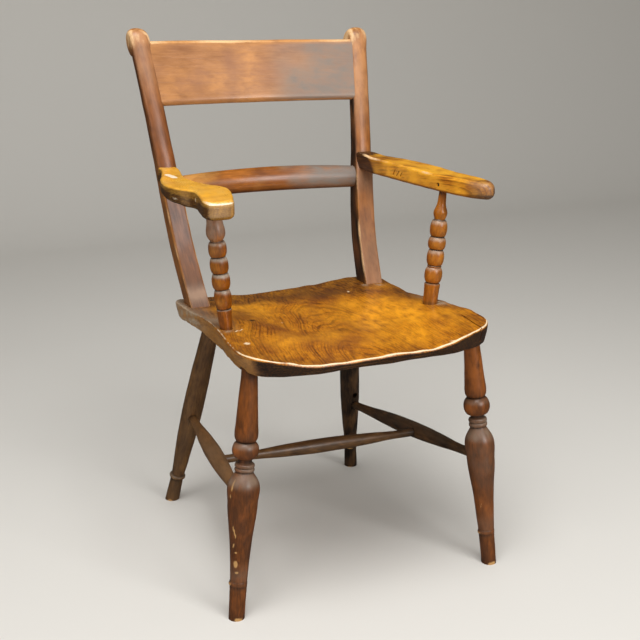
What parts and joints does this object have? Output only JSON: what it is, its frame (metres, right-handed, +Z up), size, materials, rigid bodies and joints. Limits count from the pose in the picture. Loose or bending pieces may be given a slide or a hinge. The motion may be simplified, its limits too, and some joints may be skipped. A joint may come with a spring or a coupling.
{
  "type": "bar back dining chair",
  "caption": "Wooden bar back armchair with a saddled seat, turned splayed legs, an H stretcher, scrolled back posts, bowed back bars and shaped arms on bobbin-turned supports.",
  "frame": {"origin": "on the floor, under the middle of the chair's box", "axes": "+Z up; the sitter faces -Y; +X is to the right of someone who looks at the chair's front"},
  "size_m": [0.4944, 0.5634, 0.8848],
  "materials": {
    "seat_wood": "waxed elm, honey brown, worn at the front edge",
    "leg_wood": "dark stained and polished beech",
    "back_wood": "brown polished beech",
    "arm_wood": "golden waxed elm",
    "support_wood": "orange brown polished beech",
    "peg_wood": "dry end grain",
    "iron": "dark rusted iron"
  },
  "bodies": {
    "root": {"seat": "seat_wood", "front_leg_left": "leg_wood", "front_leg_right": "leg_wood", "back_leg_left": "leg_wood", "back_leg_right": "leg_wood", "side_stretcher_left": "leg_wood", "side_stretcher_right": "leg_wood", "cross_stretcher": "leg_wood", "back_post_left": "back_wood", "back_post_right": "back_wood", "top_bar": "back_wood", "lower_bar": "back_wood", "arm_left": "arm_wood", "arm_right": "arm_wood", "arm_support_left": "support_wood", "arm_support_right": "support_wood", "arm_pin_left": "iron", "arm_pin_right": "iron", "arm_screw_left": "iron", "arm_screw_right": "iron", "top_bar_peg_left": "peg_wood", "top_bar_peg_right": "peg_wood", "lower_bar_peg_left": "peg_wood", "lower_bar_peg_right": "peg_wood", "post_wedge_left": "peg_wood", "post_wedge_right": "peg_wood"}
  },
  "joints": []
}
